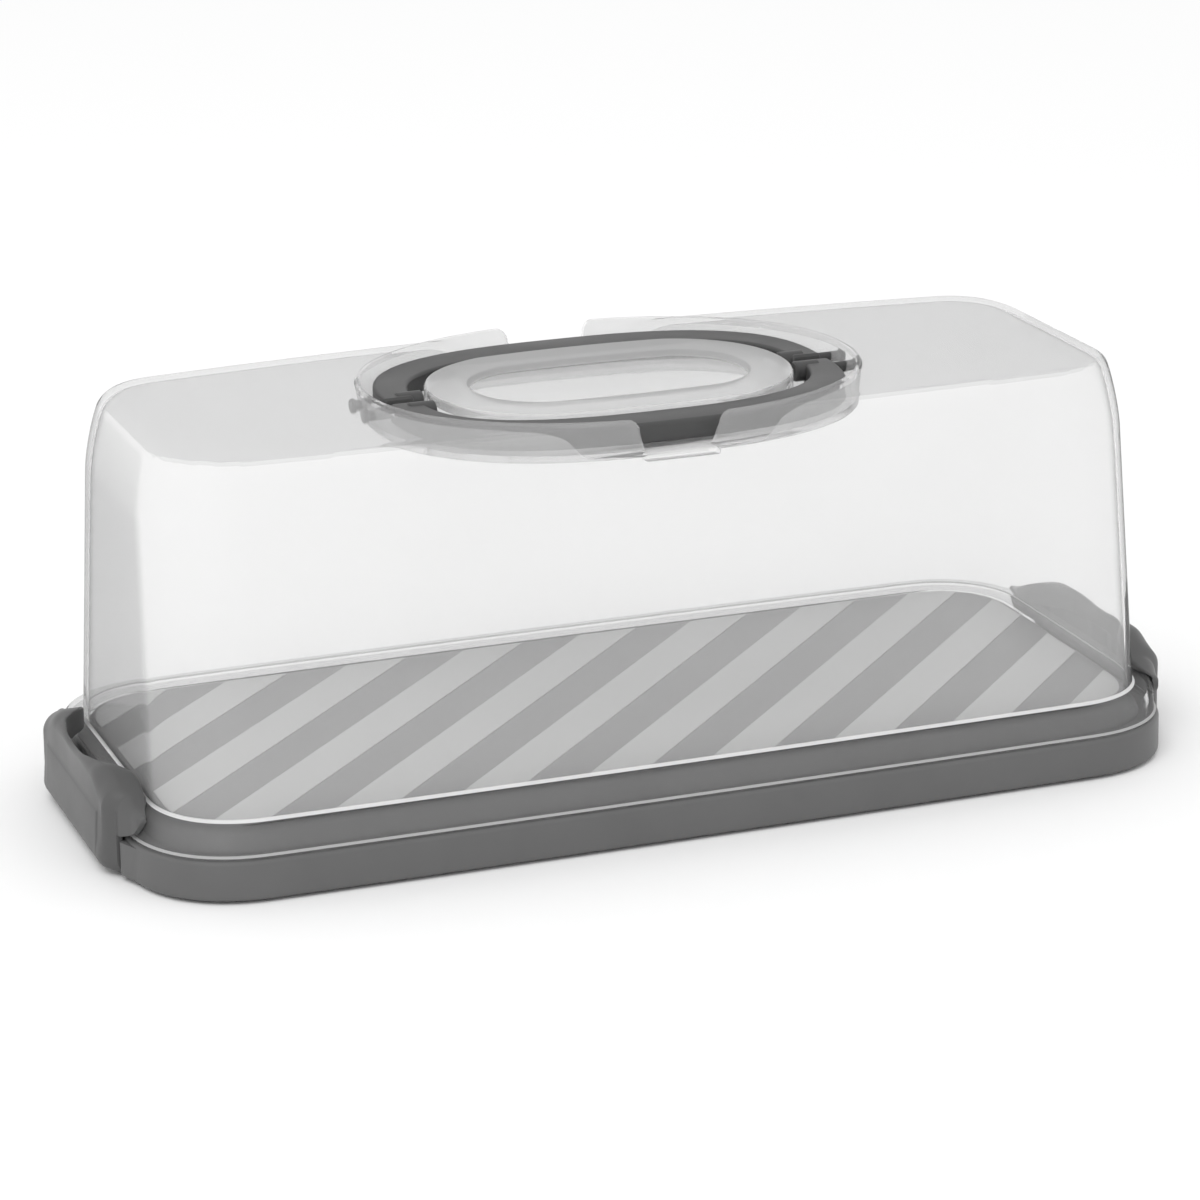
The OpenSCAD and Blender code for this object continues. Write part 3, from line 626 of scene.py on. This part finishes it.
def make_handle(side):
    """Half-oval bar with pins and bosses; side is 1 for the back one."""
    w = np.linspace(0, math.pi, 90)
    c, s = np.cos(w), np.sin(w)
    power = 2 / HANDLE_POWER
    outer, inner = (np.stack([a * np.sign(c) * np.abs(c) ** power, b * np.abs(s) ** power], 1)
                    for a, b in (HANDLE_SIZE, HOLE_SIZE))
    tail = [(np.array([HANDLE_SIZE[0] - 0.1, PIVOT_Y - d]),
             np.array([HOLE_SIZE[0], PIVOT_Y - d])) for d in (0, 1.6, 2.9, 3.7, TAIL_R)]
    path = tail[::-1] + [(o, i) for o, i in zip(outer, inner) if i[1] > PIVOT_Y + 0.5]
    path += [(o * [-1, 1], i * [-1, 1]) for o, i in tail]
    rings = []
    for o, i in path:
        low, high = BAR_Z, BAR_Z + HANDLE_H
        d = PIVOT_Y - min(o[1], i[1])
        if d > 0:       # end rounded about the pins
            reach = math.sqrt(max(0.0, TAIL_R * TAIL_R - d * d))
            low, high = max(low, PIVOT_Z - reach), min(high, PIVOT_Z + reach)
        q = min(HANDLE_EDGE, (high - low) / 2.2)
        width = np.linalg.norm(o - i)
        edge = [(q * (1 - math.cos(a)), high - q * (1 - math.sin(a)))
                for a in np.linspace(0, math.pi / 2, 5)]
        line = [(0.4, low), (0, low + 0.4), *edge]
        line += [(width - x, z) for x, z in reversed(line)]
        step = (i - o) / width
        rings.append([(o[0] + step[0] * x, side * (o[1] + step[1] * x), z)
                      for x, z in line])
    name = "handle_back" if side > 0 else "handle_front"
    bar = loft(name, rings)
    parts = []
    for sx in (-1, 1):
        for reach, r, bevel in PIN_PARTS:
            x0, x1 = span(sx, *reach)
            steps = [(x0, r), (x1, r)]
            if bevel:
                steps = [(x0, r - bevel), (x0 + bevel, r), (x1 - bevel, r), (x1, r - bevel)]
            parts.append(turned("pin", 0, (side * PIVOT_Y, PIVOT_Z), steps))
    combine(bar, parts, "UNION")
    finish_piece(bar, HANDLE_GREY, name, [name])


# ------------------------------------------------------------------ clips

def edge_x(y, d):
    """Tray's edge at a given y, moved out by d."""
    v, r = abs(y) - CORNER_Y, CORNER_R + d
    if v <= 0:
        return TRAY_A + d
    return TRAY_A - CORNER_R + math.sqrt(max(0.0, r * r - v * v))


def clip_height(v):
    """Top of a clip at a distance from its middle."""
    return CLIP_TOP - GAP_DIP * (1 - ease((v - 2) / 18)) - LOBE_DROP * ease((v - 26) / 28.5)


def clip_offset(v):
    """How far a clip stands out from the tray's edge."""
    seam = min(1.0, max(0.0, (v - CLIP_HALF + 9) / 9)) ** 3
    return lerp(lerp(CLIP_OUT, SEAM_OUT, seam), LOBE_OUT, ease((v - CLIP_HALF) / 8))


def arc(x, z, r, limit, n):
    """Arc about (x, z) from the side up to the top, stopped where x would pass limit."""
    stop = math.acos(min(1.0, max(0.0, (limit - x) / r)))
    return [(x + r * math.cos(w), z + r * math.sin(w)) for w in np.linspace(0, stop, n)]


def clip_section(y):
    """Section [d, z] of a clip at y: toe, outer face, rolled top, hook and inner face."""
    v = abs(y)
    tip = 1 - math.sqrt(1 - min(1.0, max(0.0, (v - CLIP_END + 1.6) / 1.6)) ** 2)
    out = clip_offset(v) - 0.8 * tip
    face = min(out, CLIP_FACE)
    h = clip_height(v) - 0.8 * tip
    r = lerp(0.45, 1, ease((v - 6) / 16)) * lerp(BROW_R, LOBE_R, ease((v - 24) / 10))
    r = min(r, max(1.4, h - HOOK_Z + CLIP_WALL))
    wall = lerp(CLIP_WALL, LOBE_WALL, ease((v - CLIP_HALF) / 8))
    lip = lerp(CLIP_FACE - LIP_W - 1.1 * ease((v - 10) / 8), -HOOK_REACH,
               ease((v - 17) / 19)) + HOOK_RETREAT * max(0.0, (v - 43) / 11.5)
    low = min(HOOK_Z, h - 0.7)
    line = [(out - TOE_R * (1 - math.sin(w)), CLIP_FOOT + TOE_R * (1 - math.cos(w)))
            for w in np.linspace(0, math.pi / 2, 9)]

    # Outer face, sunk by a small step above and beside the thumb pad
    beside = ease((v - PAD_HALF + 0.4) / 0.8) * (1 - ease((v - PAD_HALF - 1) / 7))
    within = 1 - ease((v - PAD_HALF) / 6)
    for z in (PAD_Z - 8, PAD_Z - 0.4, PAD_Z, PAD_Z + 0.4, PAD_Z + 2):
        z = min(z, h - r - 0.3)
        t = (z - CLIP_FOOT - TOE_R) / (h - r - CLIP_FOOT - TOE_R)
        dip = PAD_STEP * max(beside, ease((z - PAD_Z + 0.4) / 0.8) * within)
        line.append((lerp(out, face, t) - dip, z))
    dip = PAD_STEP * max(beside, within)
    line += [(x - dip * (1 - k / 12), z) for k, (x, z) in
             enumerate(arc(face - r, h - r, r, lip + 0.5, 13))]

    # Hook: rounded nose, underside and the roof of the space inside
    top = line[-1][1]
    q = min(lerp(0.45, 1.1, ease((v - 25) / 6)), (top - low) * 0.6)
    line += [(lip + q * (1 - math.sin(w)), top - 0.01 - q * (1 - math.cos(w)))
             for w in np.linspace(0.1, math.pi / 2, 6)]
    inset = max(lip + 0.02, min(lip + LIP_W, face - wall - 0.05))
    room = min(1.0, max(0.0, (face - wall - lip - LIP_W) / 2)) * (1 - ease((v - 40) / 6))
    roof = max(low + 0.02, lerp(low + 0.02, h - CLIP_WALL, room))
    line += [(lip, low + 0.2), (lerp(lip, inset, 0.2), low), (inset, low), (inset, roof)]
    rr = max(0.05, r - CLIP_WALL)
    line += list(reversed(arc(face - wall - rr, roof - rr, rr, inset, 6)))
    line += [(out - wall, CLIP_FOOT + 9), (out - wall, CLIP_FOOT + 6),
             (out - 4, CLIP_FOOT + 2.2), (out - TOE_R, CLIP_FOOT + 1.4)]
    return line


def make_clip(side):
    """side is 1 for the right clip."""
    ys = list(np.arange(0, 20, 2.5)) + list(np.arange(20, 32, 0.75)) \
        + [32.6, 32.85, 33.15, 33.4] + list(np.arange(34, 46, 0.75)) \
        + [CLIP_END - 6 * (1 - math.sin(w)) for w in np.linspace(0.02, math.pi / 2, 18)]
    ys = [-y for y in reversed(ys[1:])] + ys
    rings = [[(side * edge_x(y, d), y, z) for d, z in clip_section(y)] for y in ys]
    name = "clip_right" if side > 0 else "clip_left"
    shell = loft(name, rings)
    tools = [loft("cut", [[(x, s * y, z) for y, z in CLIP_UNDER]
                          for x in span(side, 120, 200)]) for s in (-1, 1)]
    combine(shell, tools, "DIFFERENCE")
    plan = [(TRAY_A + clip_offset(v) - 1, v) for v in np.linspace(*HINGE_Y, 10)]
    plan = [(HINGE_IN, HINGE_Y[0])] + plan + [(HINGE_IN, HINGE_Y[1])]
    parts = []
    for s in (-1, 1):
        parts.append(loft("hinge", [[(side * x, s * y, z) for x, y in plan]
                                    for z in (HINGE_Z - HINGE_HALF, HINGE_Z + HINGE_HALF)]))
        parts.append(turned("pin", 1, (side * HINGE_X, HINGE_Z),
                            [(y, HINGE_PIN_R) for y in span(s, *HINGE_PIN_Y)], n=40))
    combine(shell, parts, "UNION")
    finish_piece(shell, CLIP_GREY, name, [name], angle=38)


# ------------------------------------------------------------------ repeated pieces

def geometry_group(name, inputs):
    """Empty Geometry Nodes tree that takes and gives geometry, with named inputs."""
    return node_group(name, [("Geometry", "Geometry", None), *inputs],
                      [("Geometry", "Geometry")], "GeometryNodeTree")


def grow(obj, tree, **values):
    """Runs a tree on an object with the given inputs and keeps the plain mesh."""
    mod = obj.modifiers.new("grow", "NODES")
    mod.node_group = tree
    for item in tree.interface.items_tree:
        if item.item_type == "SOCKET" and item.name in values:
            mod[item.identifier] = values[item.name]
    settle(obj)


def stripes_tree():
    """Bars side by side at an angle, kept only inside the incoming solid."""
    tree, src, out = geometry_group("DiagonalStripes", [
        ("Stripes", "Int", 11), ("Pitch", "Float", 0.03), ("Width", "Float", 0.015),
        ("Angle", "Float", 0.785398), ("Height", "Float", 0.02), ("Look", "Material", None)])
    new, link = tree.nodes.new, tree.links.new

    def maths(kind, a, b):
        node = new("ShaderNodeMath")
        node.operation = kind
        for socket, value in zip(node.inputs, (a, b)):
            if isinstance(value, (int, float)):
                socket.default_value = value
            else:
                link(value, socket)
        return node.outputs[0]

    line = new("GeometryNodeMeshLine")
    link(src.outputs["Stripes"], line.inputs["Count"])
    last = maths("SUBTRACT", src.outputs["Stripes"], 1)
    span = maths("MULTIPLY", maths("MULTIPLY", last, src.outputs["Pitch"]), -0.5)
    start, step, size, turn = (new("ShaderNodeCombineXYZ") for _ in range(4))
    link(span, start.inputs["Y"])
    link(src.outputs["Height"], start.inputs["Z"])
    link(src.outputs["Pitch"], step.inputs["Y"])
    link(start.outputs[0], line.inputs["Start Location"])
    link(step.outputs[0], line.inputs["Offset"])
    # Bars longer than the floor's diagonal and thicker than the print
    size.inputs["X"].default_value, size.inputs["Z"].default_value = 0.8, 0.01
    link(src.outputs["Width"], size.inputs["Y"])
    bar = new("GeometryNodeMeshCube")
    link(size.outputs[0], bar.inputs["Size"])
    spread = new("GeometryNodeInstanceOnPoints")
    link(line.outputs["Mesh"], spread.inputs["Points"])
    link(bar.outputs["Mesh"], spread.inputs["Instance"])
    real = new("GeometryNodeRealizeInstances")
    link(spread.outputs["Instances"], real.inputs["Geometry"])
    link(src.outputs["Angle"], turn.inputs["Z"])
    turned = new("GeometryNodeTransform")
    link(real.outputs["Geometry"], turned.inputs["Geometry"])
    link(turn.outputs[0], turned.inputs["Rotation"])
    both = new("GeometryNodeMeshBoolean")
    both.operation, both.solver = "INTERSECT", "MANIFOLD"
    link(src.outputs["Geometry"], both.inputs["Mesh 2"])
    link(turned.outputs["Geometry"], both.inputs["Mesh 2"])
    paint = new("GeometryNodeSetMaterial")
    link(both.outputs["Mesh"], paint.inputs["Geometry"])
    link(src.outputs["Look"], paint.inputs["Material"])
    link(paint.outputs["Geometry"], out.inputs["Geometry"])
    return tree


def copies_tree():
    """The incoming solid at each corner of a rectangle."""
    tree, src, out = geometry_group("CornerCopies", [
        ("Length", "Float", 0.3), ("Width", "Float", 0.1), ("Look", "Material", None)])
    new, link = tree.nodes.new, tree.links.new
    grid = new("GeometryNodeMeshGrid")
    grid.inputs["Vertices X"].default_value = 2
    grid.inputs["Vertices Y"].default_value = 2
    link(src.outputs["Length"], grid.inputs["Size X"])
    link(src.outputs["Width"], grid.inputs["Size Y"])
    spread = new("GeometryNodeInstanceOnPoints")
    link(grid.outputs["Mesh"], spread.inputs["Points"])
    link(src.outputs["Geometry"], spread.inputs["Instance"])
    real = new("GeometryNodeRealizeInstances")
    link(spread.outputs["Instances"], real.inputs["Geometry"])
    paint = new("GeometryNodeSetMaterial")
    link(real.outputs["Geometry"], paint.inputs["Geometry"])
    link(src.outputs["Look"], paint.inputs["Material"])
    link(paint.outputs["Geometry"], out.inputs["Geometry"])
    return tree


def make_stripes():
    field = loft("floor_stripes", [tray_ring(13.4, z)
                                   for z in (FLOOR_Z + 0.01, FLOOR_Z + 0.2)])
    grow(field, stripes_tree(), Stripes=13, Pitch=0.03, Width=0.015,
         Angle=math.radians(45), Height=FLOOR_Z * MM, Look=STRIPE_GREY)
    finish_piece(field, STRIPE_GREY, "tray", ["floor_stripes"])


def make_feet():
    foot = turned("feet", 2, (0, 0), [
        (0, FOOT_R - FOOT_BEVEL), (FOOT_BEVEL * 0.3, FOOT_R - FOOT_BEVEL * 0.3),
        (FOOT_BEVEL, FOOT_R), (FOOT_H - FOOT_BEVEL, FOOT_R), (FOOT_H, FOOT_R - FOOT_BEVEL)])
    stem = turned("stem", 2, (0, 0), [(FOOT_H - 0.5, STEM_R), (FOOT_H + 5, STEM_R)])
    combine(foot, [stem], "UNION")
    grow(foot, copies_tree(), Length=2 * FOOT_X * MM, Width=2 * FOOT_Y * MM, Look=FOOT_DARK)
    finish_piece(foot, FOOT_DARK, "tray",
                 ["foot_front_left", "foot_front_right", "foot_back_left",
                  "foot_back_right"])


# ------------------------------------------------------------------ build

make_tray()
make_lid()
for end in (1, -1):
    make_handle(end)
    make_clip(end)
make_stripes()
make_feet()


# ------------------------------------------------------------------ stage

def put_at(obj, right, up, back, place):
    """Stands a lamp or camera at a place, by its three axes."""
    m = Matrix.Identity(4)
    for i in range(3):
        m[i][0], m[i][1], m[i][2], m[i][3] = right[i], up[i], back[i], place[i]
    obj.matrix_world = m


def make_stage():
    size = 6.0
    mesh = bpy.data.meshes.new("floor_sheet")
    mesh.from_pydata([(-size, -size, 0), (size, -size, 0), (size, size, 0),
                      (-size, size, 0)], [], [(0, 1, 2, 3)])
    floor = bpy.data.objects.new("floor_sheet", mesh)
    SCENE.collection.objects.link(floor)
    made, _, bsdf = material("floor_white")
    bsdf.inputs["Base Color"].default_value = (0.96, 0.96, 0.96, 1)
    bsdf.inputs["Roughness"].default_value = 0.9
    bsdf.inputs["Specular IOR Level"].default_value = 0.0
    mesh.materials.append(made)
    world = bpy.data.worlds.new("world")
    SCENE.world = world
    world.use_nodes = True
    tree = world.node_tree
    tree.nodes.clear()
    out = tree.nodes.new("ShaderNodeOutputWorld")
    seen = shader_node(tree, "Background", Color=(1, 1, 1, 1), Strength=1.0)
    light = shader_node(tree, "Background", Color=(1, 1, 1, 1), Strength=0.97)
    rays = shader_node(tree, "LightPath")
    a = shader_node(tree, "Math", p_operation="MAXIMUM", i0=(rays, "Is Camera Ray"),
                    i1=(rays, "Is Glossy Ray"))
    b = shader_node(tree, "Math", p_operation="MAXIMUM", i0=(a, "Value"),
                    i1=(rays, "Is Transmission Ray"))
    mix = tree.nodes.new("ShaderNodeMixShader")
    tree.links.new(b.outputs["Value"], mix.inputs[0])
    tree.links.new(light.outputs[0], mix.inputs[1])
    tree.links.new(seen.outputs[0], mix.inputs[2])
    tree.links.new(mix.outputs[0], out.inputs[0])


def lamp(name, place, target, size, power):
    data = bpy.data.lights.new(name, "AREA")
    data.shape, data.size, data.energy = "DISK", size, power
    obj = bpy.data.objects.new(name, data)
    SCENE.collection.objects.link(obj)
    back = np.array(place) - np.array(target)
    back = back / np.linalg.norm(back)
    side = np.cross((0, 0, 1), back)
    side /= np.linalg.norm(side)
    put_at(obj, side, np.cross(back, side), back, place)


def make_camera():
    """The photograph's camera: focal length in photo pixels, yaw, pitch, roll, place."""
    focal, photo, sensor = 4097.7, 1200.0, 36.0
    yaw, pitch, roll = 0.36069, 0.31714, -0.00817
    place = (-0.45962, -1.20804, 0.48080)
    cy, sy, cp, sp = math.cos(yaw), math.sin(yaw), math.cos(pitch), math.sin(pitch)
    ahead = np.array([sy * cp, cy * cp, -sp])
    right = np.array([cy, -sy, 0.0])
    up = np.cross(right, ahead)
    cr, sr = math.cos(roll), math.sin(roll)
    right, up = cr * right + sr * up, -sr * right + cr * up
    data = bpy.data.cameras.new("camera")
    data.sensor_width = sensor
    data.lens = sensor * focal / photo
    data.clip_start, data.clip_end = 0.05, 50
    cam = bpy.data.objects.new("camera", data)
    SCENE.collection.objects.link(cam)
    put_at(cam, right, up, -ahead, place)
    SCENE.camera = cam


make_stage()
lamp("key", (-0.9, -0.9, 1.7), (0, 0, 0.05), 1.2, 10.0)
make_camera()
SCENE.view_settings.view_transform = "Standard"
